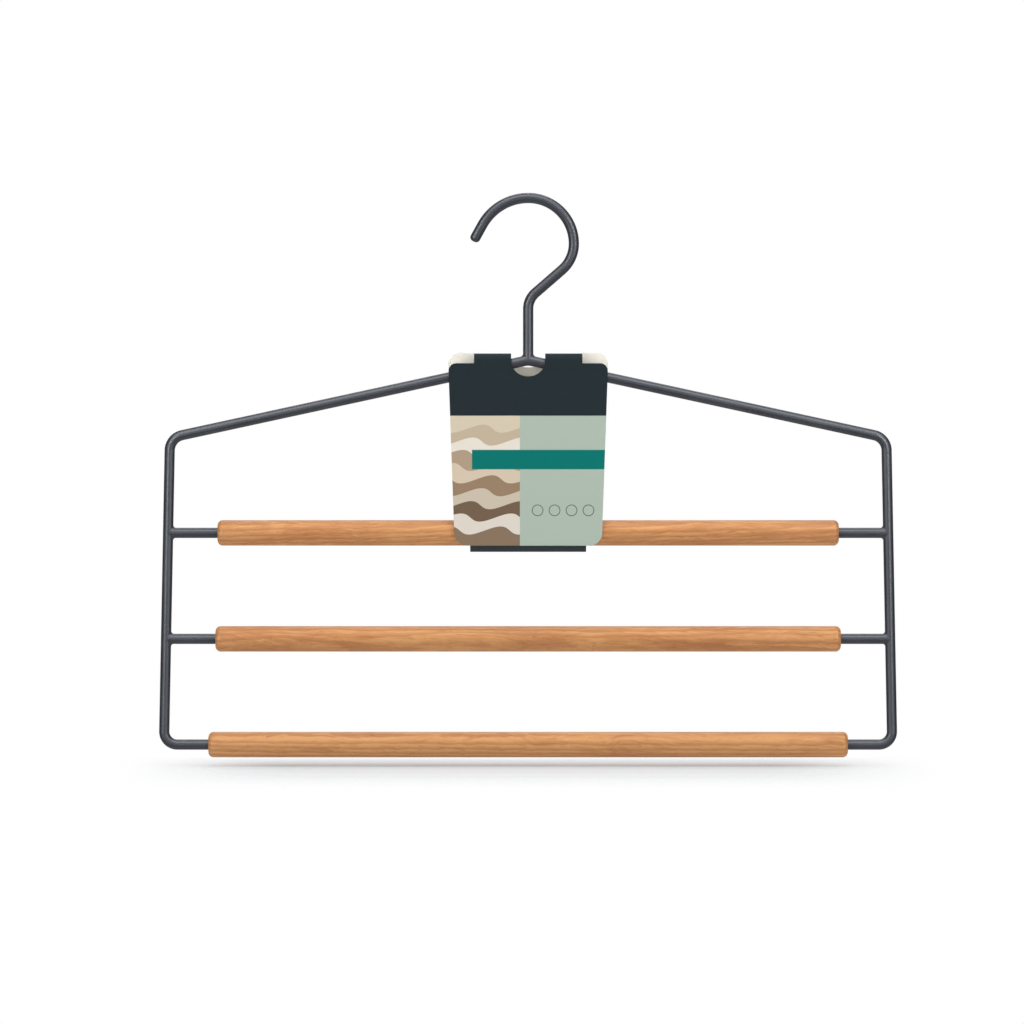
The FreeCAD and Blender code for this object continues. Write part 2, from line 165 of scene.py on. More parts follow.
class Signal:
    """One output socket of a shader, whose operators add Math nodes."""

    def __init__(self, graph: "Graph", socket: Optional[bpy.types.NodeSocket]) -> None:
        """Wrap a socket of a graph."""
        self.graph = graph
        self.socket = socket

    def math(self, operation: str, *others: "Input") -> "Signal":
        """The result of a Math node with this value and any others."""
        return self.graph.math(operation, self, *others)

    def other(self, output: str) -> "Signal":
        """Another output of the node that this value comes from."""
        return Signal(self.graph, self.socket.node.outputs[output])

    __add__ = __radd__ = math_operator("ADD")
    __sub__ = math_operator("SUBTRACT")
    __rsub__ = math_operator("SUBTRACT", swapped=True)
    __mul__ = __rmul__ = math_operator("MULTIPLY")
    __truediv__ = math_operator("DIVIDE")
    __pow__ = math_operator("POWER")
    __gt__ = math_operator("GREATER_THAN")
    __lt__ = math_operator("LESS_THAN")


Input = Union[Signal, float, str, Sequence[float]]


class Graph:
    """A node tree that is filled through one method."""

    def __init__(self, tree: bpy.types.NodeTree) -> None:
        """Take a node tree and empty it."""
        self.tree = tree
        self.tree.nodes.clear()

    def node(
        self,
        kind: str,
        settings: Optional[Mapping[str, object]] = None,
        inputs: Optional[Mapping[Union[str, int], Input]] = None,
        output: Union[str, int] = 0,
    ) -> Signal:
        """Add a node of any kind.

        Args:
            kind: The node's type, without its prefix.
            settings: The node's own settings, set first. A ramp has "bands", its places and colours.
            inputs: Values or links by socket.
            output: The output that is returned.

        Returns:
            The chosen output, or an empty signal on a node without outputs.
        """
        made = self.tree.nodes.new(f"ShaderNode{kind}")
        for name, setting in (settings or {}).items():
            if name == "bands":
                self.set_bands(made.color_ramp, setting)
            else:
                setattr(made, name, setting)
        for name, value in (inputs or {}).items():
            if isinstance(value, Signal):
                self.tree.links.new(value.socket, made.inputs[name])
            else:
                made.inputs[name].default_value = value
        return Signal(self, made.outputs[output] if len(made.outputs) else None)

    @staticmethod
    def set_bands(ramp: bpy.types.ColorRamp, bands: Sequence[tuple[float, Colour]]) -> None:
        """Give a ramp bands with hard edges.

        Args:
            ramp: The ramp, which has two stops at first.
            bands: Start and colour of each band, in order.
        """
        ramp.interpolation = "CONSTANT"
        while len(ramp.elements) < len(bands):
            ramp.elements.new(1.0)
        for element, (place, colour) in zip(ramp.elements, bands):
            element.position = place
            element.color = colour

    def math(self, operation: str, *values: Input) -> Signal:
        """The result of a Math node with these values, in order."""
        return self.node("Math", {"operation": operation}, dict(enumerate(values)))

    def axes(self, place: Signal) -> tuple[Signal, Signal, Signal]:
        """The three coordinates of a place."""
        first = self.node("SeparateXYZ", None, {0: place}, "X")
        return first, first.other("Y"), first.other("Z")

    def blend(self, share: Input, first: Input, second: Input) -> Signal:
        """Mix two colours: the first at a share of 0, the second at 1."""
        inputs = {0: share, 6: first, 7: second}
        return self.node("Mix", {"data_type": "RGBA"}, inputs, 2)

    def noise(self, place: Signal, scale: float, detail: float = 2.0, roughness: float = 0.5) -> Signal:
        """Soft noise from 0 to 1, with some finer layers of a weight."""
        inputs = {"Vector": place, "Scale": scale, "Detail": detail, "Roughness": roughness}
        return self.node("TexNoise", None, inputs, "Fac")

    def drawn(self, place: Signal, scales: Pair, *layers: float) -> Signal:
        """Noise with one scale along X and another across it, and any number and weight of layers."""
        inputs = {0: place, 1: (scales[0], scales[1], scales[1])}
        return self.noise(self.node("VectorMath", {"operation": "MULTIPLY"}, inputs), 1.0, *layers)

    def rise(self, value: Signal, low: float, high: float) -> Signal:
        """Smooth step from 0 where the value is low to 1 where it is high."""
        inputs = {"Value": value, "From Min": low, "From Max": high}
        return self.node("MapRange", {"interpolation_type": "SMOOTHSTEP"}, inputs)

    def bump(self, height: Signal, depth: float, strength: float) -> Signal:
        """Normal of a relief from 0 to 1, whose depth is in metres, at a strength."""
        inputs = {"Height": height, "Distance": depth, "Strength": strength}
        return self.node("Bump", None, inputs)

    def surface(self, inputs: Mapping[Union[str, int], Input]) -> None:
        """End the graph with a principled surface of these inputs."""
        shader = self.node("BsdfPrincipled", None, inputs)
        self.node("OutputMaterial", None, {"Surface": shader})


def new_graph(name: str) -> tuple[bpy.types.Material, Graph, Signal]:
    """Make an empty material.

    Args:
        name: The material's name.

    Returns:
        The material, its graph and the place in the piece's own coordinates.
    """
    material = bpy.data.materials.new(name)
    material.use_nodes = True
    graph = Graph(material.node_tree)
    return material, graph, graph.node("TexCoord", output="Object")


@dataclass(frozen=True)
class GraphiteCoat:
    """Satin graphite powder coat with a fine orange peel."""

    name: str = "graphite_powder_coat"
    base: Colour = screen_colour(46, 48, 55)
    pale: Colour = screen_colour(54, 56, 63)
    roughness: float = 0.34
    specular: float = 0.86
    sheen_tint: Colour = (0.91, 0.965, 1.0, 1.0)
    cloud_scale: float = 55.0
    peel_scale: float = 1800.0
    peel_depth: float = 0.000006

    def material(self) -> bpy.types.Material:
        """Mottle the colour softly and raise an orange peel of about half a millimetre.

        Returns:
            The coat's material.
        """
        material, graph, place = new_graph(self.name)
        cloud = graph.noise(place, self.cloud_scale, 3.0)
        peel = graph.noise(place, self.peel_scale, 2.0, 0.55)
        grit = graph.noise(place, self.peel_scale * 4.0, 1.0)
        mottle = graph.rise(cloud * 0.7 + grit * 0.3, 0.35, 0.65)
        graph.surface({
            "Base Color": graph.blend(mottle, self.base, self.pale),
            "Roughness": cloud * 0.1 + grit * 0.06 + (self.roughness - 0.08),
            "Specular IOR Level": self.specular,
            "Specular Tint": self.sheen_tint,
            "Normal": graph.bump(peel * 0.9 + grit * 0.1, self.peel_depth, 0.35),
        })
        return material


@dataclass(frozen=True)
class Cut:
    """How a bar was cut from its log, in metres and radians.

    Attributes:
        shift: Where in the wood the bar comes from.
        pith: Distance of the bar's axis from the pith, along Y and Z.
        lean: Slope of the pith's line against the bar, along Y and Z.
        slant: Turn of the grain.
        paleness: How much more of the pale tone it shows.
    """

    shift: Triple
    pith: Pair
    lean: Pair
    slant: float
    paleness: float = 0.0


@dataclass(frozen=True)
class LacqueredWood:
    """Straight-grained pale hardwood under a clear satin lacquer. Sizes are in metres.

    Each scale gives a noise's grains in a metre along the bar and across it.
    """

    name: str
    axis_height: float
    half_length: float
    cut: Cut
    pale: Colour = screen_colour(208, 150, 93)
    middle: Colour = screen_colour(181, 120, 68)
    brown: Colour = screen_colour(157, 98, 54)
    pore: Colour = screen_colour(126, 76, 42)
    ring_width: float = 0.0026
    end_depth: float = 0.0034
    drift_scale: Pair = (9.0, 70.0)
    drift: Pair = (0.009, 0.006)
    sway_scale: Pair = (20.0, 45.0)
    sway: float = 0.016
    ripple_scale: Pair = (60.0, 420.0)
    ripple: float = 0.8
    fibre_scale: Pair = (80.0, 900.0)
    pore_scale: Pair = (190.0, 2000.0)
    tone_scale: Pair = (13.0, 150.0)
    late_share: float = 0.48
    pore_share: float = 0.4
    end_share: float = 0.06
    relief: float = 0.00006
    roughness: float = 0.44

    def material(self) -> bpy.types.Material:
        """Cut the bar from a leaning log.

        The growth rings are the distance from a pith beside the bar, whose line leans along X and
        wanders, so that they break the surface in long arches. Fibres, short pores and slow changes
        of tone are noises drawn out along X, whose lines sway together.

        Returns:
            The wood's material.
        """
        material, graph, place = new_graph(self.name)
        own = graph.node("Mapping", None, {
            "Vector": place,
            "Location": self.cut.shift,
            "Rotation": (0.0, self.cut.slant, self.cut.slant / 2.0),
        })
        along, depth, level = graph.axes(place)
        height = level - self.axis_height
        drift = graph.drawn(own, self.drift_scale) - 0.5
        swing = (graph.drawn(own, self.sway_scale) - 0.5) * self.sway
        aside = graph.node("CombineXYZ", None, {"Y": swing, "Z": swing})
        grain = graph.node("VectorMath", {"operation": "ADD"}, {0: own, 1: aside})
        ripple = graph.drawn(grain, self.ripple_scale) - 0.5
        across = depth + along * self.cut.lean[0] + drift * self.drift[0] + self.cut.pith[0]
        upward = height + along * self.cut.lean[1] + drift * self.drift[1] + self.cut.pith[1]
        radius = (across * across + upward * upward) ** 0.5
        phase = (radius / self.ring_width + ripple * self.ripple).math("FRACT")
        late = graph.rise(phase, 0.2, 0.86) * (1.0 - graph.rise(phase, 0.9, 1.0))
        fibre = graph.drawn(grain, self.fibre_scale, 4.0, 0.6)
        pores = graph.rise(graph.drawn(grain, self.pore_scale), 0.6, 0.72)
        tone = graph.drawn(grain, self.tone_scale) * 0.5 + fibre * 0.5 - self.cut.paleness
        ends = graph.rise(along.math("ABSOLUTE"), self.half_length - self.end_depth, self.half_length)
        body = graph.blend(graph.rise(tone, 0.37, 0.63), self.pale, self.middle)
        ringed = graph.blend(late * self.late_share, body, self.brown)
        pored = graph.blend(pores * self.pore_share, ringed, self.pore)
        graph.surface({
            "Base Color": graph.blend(ends * self.end_share, pored, self.brown),
            "Roughness": pores * 0.12 + fibre * 0.14 + (self.roughness - 0.07),
            "Specular IOR Level": 0.5,
            "Coat Weight": 0.12,
            "Coat Roughness": 0.3,
            "Normal": graph.bump(fibre * 0.5 - pores * 0.5, self.relief, 0.5),
        })
        return material


@dataclass(frozen=True)
class PrintedBoard:
    """Matt print on the sleeve's outside: a bare header, plain fields and a waved swatch. The strap under
    the bar is printed a lighter grey than the header, which is painted light.
    """

    name: str = "matt_printed_board"
    header: Colour = screen_colour(33, 43, 47)
    field: Colour = screen_colour(167, 181, 168)
    strip: Colour = screen_colour(4, 112, 104)
    # Painted light: the strap carries the header's dark print, but is given a lighter grey to stand in for
    # light on it under the bar.
    strap: Colour = screen_colour(50, 58, 61)
    worn: Colour = screen_colour(205, 205, 198)
    worn_share: float = 0.02
    swatch: tuple[Colour, ...] = (
        screen_colour(206, 194, 172),
        screen_colour(188, 172, 148),
        screen_colour(222, 215, 202),
        screen_colour(170, 150, 126),
        screen_colour(206, 190, 168),
        screen_colour(148, 124, 100),
        screen_colour(196, 184, 166),
        screen_colour(112, 92, 74),
        screen_colour(214, 206, 194),
        screen_colour(132, 112, 92),
    )
    header_foot: float = -0.1101
    panel_foot: float = -0.1777
    swatch_edge: float = -0.0043
    strip_start: float = -0.0292
    strip_head: float = -0.1278
    strip_foot: float = -0.1379
    wave_pitch: float = 0.0066
    wave_length: float = 0.026
    wave_height: float = 0.32
    wave_skew: float = 1.3
    line: Colour = screen_colour(74, 92, 86)
    ring_start: float = 0.0005
    ring_pitch: float = 0.0088
    ring_count: int = 4
    ring_height: float = -0.1592
    ring_radius: float = 0.0028
    line_width: float = 0.00042
    fibre_scale: float = 2600.0
    fibre_depth: float = 0.00003
    cloud_scale: float = 90.0

    def material(self) -> bpy.types.Material:
        """Lay the print out by height and by distance across the panel.

        The swatch is stacked bands whose edges are sine waves: the band number is the depth below
        the header over the pitch, plus a sine of the distance across. A ring is where the distance
        from the middle of its cell in a row is near the ring's radius.

        Returns:
            The print's material.
        """
        material, graph, place = new_graph(self.name)
        across, depth, height = graph.axes(place)
        front = depth < 0.0
        below = (height - self.header_foot) / -self.wave_pitch
        turn = across * (2.0 * math.pi / self.wave_length) + below * self.wave_skew
        band = (below + turn.math("SINE") * self.wave_height) / float(len(self.swatch))
        bands = [(index / len(self.swatch), colour) for index, colour in enumerate(self.swatch)]
        waves = graph.node("ValToRGB", {"bands": bands}, {0: band})
        cell = (across - self.ring_start) / self.ring_pitch
        aside = (cell.math("FRACT") - 0.5) * self.ring_pitch
        above = height - self.ring_height
        off_ring = ((aside * aside + above * above) ** 0.5 - self.ring_radius).math("ABSOLUTE")
        on_ring = (off_ring < self.line_width / 2.0) * (cell > 0.0) * (cell < float(self.ring_count))
        plain = graph.blend(on_ring, self.field, self.line)
        fields = graph.blend(across < self.swatch_edge, plain, waves)
        on_strip = (height < self.strip_head) * (height > self.strip_foot) * (across > self.strip_start)
        panel = graph.blend(on_strip, fields, self.strip)
        on_panel = front * (height < self.header_foot) * (height > self.panel_foot)
        # Painted light: below the panel's foot, the lighter strap grey stands in for light on the strap.
        dark = graph.blend(height < self.panel_foot, self.header, self.strap)
        ink = graph.blend(on_panel, dark, panel)
        fibre = graph.noise(place, self.fibre_scale, 3.0, 0.6)
        cloud = graph.noise(place, self.cloud_scale)
        rubbed = graph.rise(fibre, 0.5, 0.8) * self.worn_share
        graph.surface({
            "Base Color": graph.blend(rubbed, ink, self.worn),
            "Roughness": cloud * 0.1 + fibre * 0.08 + 0.46,
            "Specular IOR Level": 0.07,
            "Normal": graph.bump(fibre, self.fibre_depth, 0.3),
        })
        return material


@dataclass(frozen=True)
class BareBoard:
    """Uncoated face or cut edge of the board."""

    name: str
    base: Colour
    shade: Colour
    fibre_scale: Pair = (900.0, 2400.0)
    fibre_depth: float = 0.00003

    def material(self) -> bpy.types.Material:
        """Fleck the board with short fibres.

        Returns:
            The board's material.
        """
        material, graph, place = new_graph(self.name)
        fibre = graph.drawn(place, self.fibre_scale, 3.0, 0.6)
        graph.surface({
            "Base Color": graph.blend(graph.rise(fibre, 0.4, 0.75), self.base, self.shade),
            "Roughness": fibre * 0.1 + 0.72,
            "Specular IOR Level": 0.3,
            "Normal": graph.bump(fibre, self.fibre_depth, 0.4),
        })
        return material


@dataclass(frozen=True)
class Route:
    """A flat line in the XZ plane, in millimetres.

    Attributes:
        points: Places along the line, one row each.
        headings: Unit direction of travel at each place.
    """

    points: Array
    headings: Array

    def __add__(self, after: "Route") -> "Route":
        """Join another line to the end of this one."""
        return Route(np.vstack((self.points, after.points)), np.vstack((self.headings, after.headings)))


def left_of(ways: Array) -> Array:
    """Turn flat directions a quarter turn to the left."""
    return np.stack((-ways[:, 1], ways[:, 0]), axis=1)


def straight(start: Sequence[float], end: Sequence[float]) -> Route:
    """Draw a straight run.

    Args:
        start: Where it starts.
        end: Where it ends.

    Returns:
        The run by its two ends.
    """
    points = np.array((start, end), float)
    heading = (points[1] - points[0]) / np.linalg.norm(points[1] - points[0])
    return Route(points, np.tile(heading, (2, 1)))


def bend(centre: Sequence[float], radius: float, start: float, end: float, steps: int = 28) -> Route:
    """Draw an arc: the centre plus the radius times the cosine and sine of a steady angle.

    Args:
        centre: The arc's centre.
        radius: The arc's radius.
        start: Angle from +X at the start, in degrees.
        end: Angle at the end, in degrees.
        steps: Number of chords.

    Returns:
        The arc.
    """
    angle = np.radians(np.linspace(start, end, steps + 1))
    spoke = np.stack((np.cos(angle), np.sin(angle)), axis=1)
    return Route(np.array(centre, float) + radius * spoke, left_of(spoke) * np.sign(end - start))


def rounded(corners: Array, radii: Array, steps: int = 24) -> Route:
    """Draw straight runs through corners and round each inner corner with a tangent arc.

    The arc starts the radius times the tangent of half the turn before its corner, and its spoke
    turns by the corner's own turn.

    Args:
        corners: Corner points, ends included.
        radii: Radius at each inner corner.
        steps: Number of chords in an arc.

    Returns:
        The whole line.
    """
    runs = np.diff(corners, axis=0)
    ways = runs / np.linalg.norm(runs, axis=1, keepdims=True)
    before, after = ways[:-1], ways[1:]
    cross = before[:, 0] * after[:, 1] - before[:, 1] * after[:, 0]
    turn = np.arctan2(cross, (before * after).sum(axis=1))
    start = corners[1:-1] - before * (radii * np.tan(np.abs(turn) / 2))[:, None]
    left = left_of(before)
    angle = turn[:, None] * np.linspace(0.0, 1.0, steps + 1)
    cosine, sine = np.cos(angle)[..., None], np.sin(angle)[..., None]
    heading = before[:, None] * cosine + left[:, None] * sine
    outward = heading[..., ::-1] * np.array((1.0, -1.0)) * np.sign(turn)[:, None, None]
    centre = start + left * (np.sign(turn) * radii)[:, None]
    points = centre[:, None] + outward * radii[:, None, None]
    ends = Route(corners[:1], ways[:1]), Route(corners[-1:], ways[-1:])
    return ends[0] + Route(points.reshape(-1, 2), heading.reshape(-1, 2)) + ends[1]


def wire_rings(route: Route, radii: Union[float, Array], sides: int = 48) -> Array:
    """Carry a circle along a flat line.

    Each ring is the point plus the radius times the cosine along the line's normal and the sine
    along Y.

    Args:
        route: The line.
        radii: The wire's radius, or one for each point.
        sides: Number of points in a ring.

    Returns:
        Points by row and column, in millimetres.
    """
    angle = np.linspace(0.0, 2.0 * math.pi, sides, endpoint=False)
    reach = np.broadcast_to(np.asarray(radii, float), len(route.points))[:, None]
    normal = left_of(route.headings)
    x = route.points[:, :1] + reach * np.cos(angle) * normal[:, :1]
    z = route.points[:, 1:] + reach * np.cos(angle) * normal[:, 1:]
    y = reach * np.sin(angle)
    return np.stack((x, np.broadcast_to(y, x.shape), z), axis=-1)


def turned_rings(profile: Array, axis_height: float, sides: int = 96) -> Array:
    """Turn a profile of distance along X and radius about a level axis.

    Args:
        profile: Distance and radius of each point, one row each.
        axis_height: Height of the axis.
        sides: Number of points in a ring.

    Returns:
        Points by row and column, in millimetres.
    """
    angle = np.linspace(0.0, 2.0 * math.pi, sides, endpoint=False)
    reach = profile[:, 1:]
    x = np.broadcast_to(profile[:, :1], (len(profile), sides))
    return np.stack((x, reach * np.cos(angle), axis_height + reach * np.sin(angle)), axis=-1)


def put(name: str, data: bpy.types.ID) -> bpy.types.Object:
    """Add an object to the scene, at the origin.

    Args:
        name: The object's name.
        data: Its mesh, light or camera.

    Returns:
        The new object.
    """
    made = bpy.data.objects.new(name, data)
    bpy.context.scene.collection.objects.link(made)
    return made


@dataclass(frozen=True)
class Skin:
    """A surface of quads and triangles, in millimetres."""

    vertices: Array
    quads: Array
    triangles: Array

    @classmethod
    def over_rings(cls, rings: Array) -> "Skin":
        """Cover a stack of closed rings and close both ends with a fan about the ring's middle.

        Args:
            rings: Points by row and column.

        Returns:
            The closed skin, facing outwards.
        """
        rows, columns = rings.shape[:2]
        index = np.arange(rows * columns).reshape(rows, columns)
        beside = np.roll(index, -1, axis=1)
        quads = np.stack((index[:-1], index[1:], beside[1:], beside[:-1]), axis=-1).reshape(-1, 4)
        first = np.full(columns, rows * columns)
        start = np.stack((first, index[0], beside[0]), axis=-1)
        end = np.stack((first + 1, beside[-1], index[-1]), axis=-1)
        vertices = np.vstack((rings.reshape(-1, 3), rings[[0, -1]].mean(axis=1)))
        return cls(vertices, quads, np.vstack((start, end))).outward()

    @classmethod
    def over_grid(cls, grid: Array) -> "Skin":
        """Cover an open grid, facing along columns cross rows.

        Args:
            grid: Points by row and column.

        Returns:
            The open skin.
        """
        rows, columns = grid.shape[:2]
        index = np.arange(rows * columns).reshape(rows, columns)
        quads = np.stack((index[:-1, :-1], index[:-1, 1:], index[1:, 1:], index[1:, :-1]), axis=-1)
        return cls(grid.reshape(-1, 3), quads.reshape(-1, 4), np.empty((0, 3), int))

    @classmethod
    def together(cls, skins: Iterable["Skin"]) -> "Skin":
        """Put several skins into one.

        Args:
            skins: The skins.

        Returns:
            One skin with all their faces.
        """
        every = list(skins)
        starts = np.cumsum([0] + [len(skin.vertices) for skin in every[:-1]])
        return cls(
            np.vstack([skin.vertices for skin in every]),
            np.vstack([skin.quads + start for skin, start in zip(every, starts)]),
            np.vstack([skin.triangles + start for skin, start in zip(every, starts)]),
        )

    def flipped(self) -> "Skin":
        """The same skin facing the other way."""
        return Skin(self.vertices, self.quads[:, ::-1], self.triangles[:, ::-1])

    def both_sides(self) -> "Skin":
        """This skin and its mirror image across the YZ plane, as one."""
        mirror = Skin(self.vertices * (-1.0, 1.0, 1.0), self.quads, self.triangles).flipped()
        return Skin.together((self, mirror))

    def outward(self) -> "Skin":
        """Turn a closed skin whose signed volume is negative.

        Returns:
            The skin with its faces outwards.
        """
        fans = np.vstack((self.triangles, self.quads[:, [0, 1, 2]], self.quads[:, [0, 2, 3]]))
        a, b, c = (self.vertices[fans[:, corner]] for corner in range(3))
        volume = np.einsum("ij,ij->", a, np.cross(b, c))
        return self if volume >= 0.0 else self.flipped()

    def piece(self, name: str, crease: float = CREASE_ANGLE) -> bpy.types.Object:
        """Make the skin a smooth mesh object at the origin.

        Args:
            name: The piece's name.
            crease: Angle in degrees past which an edge stays sharp.

        Returns:
            The new object.
        """
        mesh = bpy.data.meshes.new(name)
        faces = self.quads.tolist() + self.triangles.tolist()
        mesh.from_pydata((self.vertices * MM).tolist(), [], faces)
        mesh.shade_smooth()
        mesh.set_sharp_from_angle(angle=math.radians(crease))
        return put(name, mesh)


def fasten(
    piece: bpy.types.Object,
    body: str,
    nodes: Sequence[str],
    materials: Sequence[bpy.types.Material],
) -> None:
    """Dress a piece, put it on its body in place of its CAD nodes and report it.

    Args:
        piece: The new piece.
        body: The body that carries it.
        nodes: The CAD nodes that it stands for.
        materials: Its materials, in the order of its slots.
    """
    for material in materials:
        piece.data.materials.append(material)
    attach(piece, body)
    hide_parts(*nodes)
    LOG.info("%s: %d faces on %s", piece.name, len(piece.data.polygons), body)


@dataclass
class WeldedWire:
    """The frame's bent wire, its hook, four stubs and the weld fillets. Sizes are in millimetres."""

    coat: GraphiteCoat
    wire_radius: float = 2.7
    hook_radius: float = 21.0
    throat_radius: float = 18.0
    diagonal_angle: float = 49.0
    stem_bend_radius: float = 11.0
    nose_radius: float = 27.2
    nose_angle: float = 61.0
    nose_straight: float = 9.7
    tip_round: float = 2.2
    apex_height: float = -81.5
    apex_bend_radius: float = 10.0
    shoulder_half: float = 186.3
    shoulder_height: float = -121.9
    shoulder_bend_radius: float = 8.3
    base_half: float = 190.0
    base_bend_radius: float = 6.8
    end_play: float = 1.0
    root_depth: float = 1.0
    hook_fillet: float = 1.7
    stub_fillet: float = 1.35
    fillet_sweep: float = 86.0
    fillet_rows: int = 49
    fillet_columns: int = 13
    fillet_core: Triple = (0.55, 0.9, 0.55)

    def side_reach(self, height: float) -> float:
        """Distance of the side wire's middle from the YZ plane at a height."""
        share = (self.shoulder_height - height) / (self.shoulder_height - Tier.BOTTOM.axis)
        return self.shoulder_half + share * (self.base_half - self.shoulder_half)

    def wire_end(self, tier: Tier) -> float:
        """Where a wire ends inside a bar's bore, as a distance from the YZ plane."""
        return tier.half - BORE_DEPTH + self.end_play

    def frame_route(self) -> Route:
        """Run from one end of the bottom bar over the apex to the other.

        Returns:
            The line of the bent wire.
        """
        base = Tier.BOTTOM.axis
        half = np.array((
            (self.wire_end(Tier.BOTTOM), base),
            (self.base_half, base),
            (self.shoulder_half, self.shoulder_height),
        ))
        apex = np.array(((0.0, self.apex_height),))
        corners = np.vstack((half * (-1.0, 1.0), apex, half[::-1]))
        radii = np.array((self.base_bend_radius, self.shoulder_bend_radius, self.apex_bend_radius,
                          self.shoulder_bend_radius, self.base_bend_radius))
        return rounded(corners, radii)

    def hook_route(self) -> Route:
        """Run up the stem, over the S-bend and the bowl to where the tip's rounding starts.

        Returns:
            The hook's line.
        """
        bowl = self.hook_radius + self.wire_radius
        bowl_centre = np.array((0.0, self.wire_radius - bowl))
        throat_centre = bowl_centre + (bowl - self.throat_radius, 0.0)
        nose_centre = np.array((0.0, self.wire_radius - self.nose_radius))
        slope = math.radians(self.diagonal_angle)
        diagonal_top = throat_centre + self.throat_radius * np.array((math.cos(slope), -math.sin(slope)))
        foot_reach = self.stem_bend_radius * (1.0 - math.cos(slope))
        foot_height = diagonal_top[1] - (diagonal_top[0] - foot_reach) / math.tan(slope)
        bend_height = foot_height - self.stem_bend_radius * math.sin(slope)
        nose = bend(nose_centre, self.nose_radius, 90.0, 90.0 + self.nose_angle)
        tip_start = nose.points[-1] + nose.headings[-1] * (self.nose_straight - self.tip_round)
        stem_centre = (self.stem_bend_radius, bend_height)
        return (
            straight((0.0, self.apex_height), (0.0, bend_height))
            + bend(stem_centre, self.stem_bend_radius, 180.0, 180.0 - self.diagonal_angle)
            + bend(throat_centre, self.throat_radius, -self.diagonal_angle, 0.0)
            + bend(bowl_centre, bowl, 0.0, 90.0, 48)
            + nose
            + straight(nose.points[-1], tip_start)
        )

    def hook_rings(self) -> Array:
        """Carry the wire along the hook and round its tip with a quarter circle.

        Returns:
            The hook's rings.
        """
        route = self.hook_route()
        turn = np.linspace(0.0, QUARTER_TURN, 13)[1:]
        advance = self.tip_round * np.sin(turn)
        heading = route.headings[-1]
        tip = Route(route.points[-1] + advance[:, None] * heading, np.tile(heading, (len(turn), 1)))
        shrink = self.wire_radius - self.tip_round * (1.0 - np.cos(turn))
        radii = np.concatenate((np.full(len(route.points), self.wire_radius), shrink))
        return wire_rings(route + tip, radii)

    def fillet(self, crossing: Sequence[float], first: float, second: float, size: float) -> Skin:
        """Fill the crotch of two wires with the track of a rolling ball.

        The ball's middle keeps the wire's radius plus its own from both axes, on an ellipse through
        the crotch. The skin is the ball's arc between its contacts with the two wires, closed by a
        line inside them.

        Args:
            crossing: X and Z of the point where the axes cross.
            first: Angle of one wire from +X, in degrees.
            second: Angle of the other wire, in degrees.
            size: The ball's radius.

        Returns:
            The closed fillet.
        """
        ways = np.radians((first, second))
        run = np.stack((np.cos(ways), np.zeros(2), np.sin(ways)), axis=1)
        middle_way = run.sum(axis=0) / np.linalg.norm(run.sum(axis=0))
        half = math.acos(float(run[0] @ middle_way))
        reach = self.wire_radius + size
        turn = np.radians(np.linspace(-self.fillet_sweep, self.fillet_sweep, self.fillet_rows))[:, None]
        ball = reach * np.sin(turn) * (0.0, 1.0, 0.0) + reach * np.cos(turn) / math.sin(half) * middle_way
        feet = [way * (ball @ way)[:, None] for way in run]
        spokes = [(foot - ball) / reach for foot in feet]
        opening = np.arccos(np.clip((spokes[0] * spokes[1]).sum(axis=1), -1.0, 1.0))[:, None, None]
        share = np.linspace(0.0, 1.0, self.fillet_columns)[None, :, None]
        leaving = np.sin((1.0 - share) * opening) * spokes[0][:, None]
        arriving = np.sin(share * opening) * spokes[1][:, None]
        face = ball[:, None] + size * (leaving + arriving) / np.sin(opening)
        inside = face[:, [self.fillet_columns // 2]] * self.fillet_core
        rings = np.concatenate((face, inside), axis=1)
        return Skin.over_rings(rings + (crossing[0], 0.0, crossing[1]))

    def stub_route(self, tier: Tier, side: Side) -> Route:
        """Run from just short of the side wire's middle into a bar's bore."""
        height = tier.axis
        root = self.side_reach(height) - self.root_depth
        return straight((side.value * root, height), (side.value * self.wire_end(tier), height))

    def stub_fillets(self) -> Skin:
        """Fill above and below each stub where it meets the side wire.

        Returns:
            The eight fillets as one skin.
        """
        drop = self.shoulder_height - Tier.BOTTOM.axis
        lean = math.degrees(math.atan2(self.base_half - self.shoulder_half, drop))
        skins = []
        for tier in (Tier.TOP, Tier.MIDDLE):
            height = tier.axis
            crossing = (self.side_reach(height), height)
            for way in (90.0 + lean, 270.0 + lean):
                skins.append(self.fillet(crossing, way, 180.0, self.stub_fillet).both_sides())
        return Skin.together(skins)

    def hook_fillets(self) -> Skin:
        """Fill both sides of the stem where it stands on the apex.

        Returns:
            The two fillets as one skin.
        """
        slope = math.degrees(math.atan2(self.shoulder_height - self.apex_height, self.shoulder_half))
        return self.fillet((0.0, self.apex_height), slope, 90.0, self.hook_fillet).both_sides()

    def build(self) -> None:
        """Make and dress every wire and fillet of the frame."""
        coat = self.coat.material()
        frame_rings = wire_rings(self.frame_route(), self.wire_radius)
        skins = {
            ("bent_frame_wire", "frame_wire"): Skin.over_rings(frame_rings),
            ("hook_wire", "hook"): Skin.over_rings(self.hook_rings()),
            ("hook_weld_fillets", "hook_weld"): self.hook_fillets(),
            ("stub_weld_fillets", "stub_welds"): self.stub_fillets(),
        }
        for tier in (Tier.TOP, Tier.MIDDLE):
            for side in Side:
                level, hand = tier.name.lower(), side.name.lower()
                rings = wire_rings(self.stub_route(tier, side), self.wire_radius)
                skins[f"stub_wire_{level}_{hand}", f"stub_{level}_{hand}"] = Skin.over_rings(rings)
        for (name, node), skin in skins.items():
            fasten(skin.piece(name), "frame", [node], [coat])


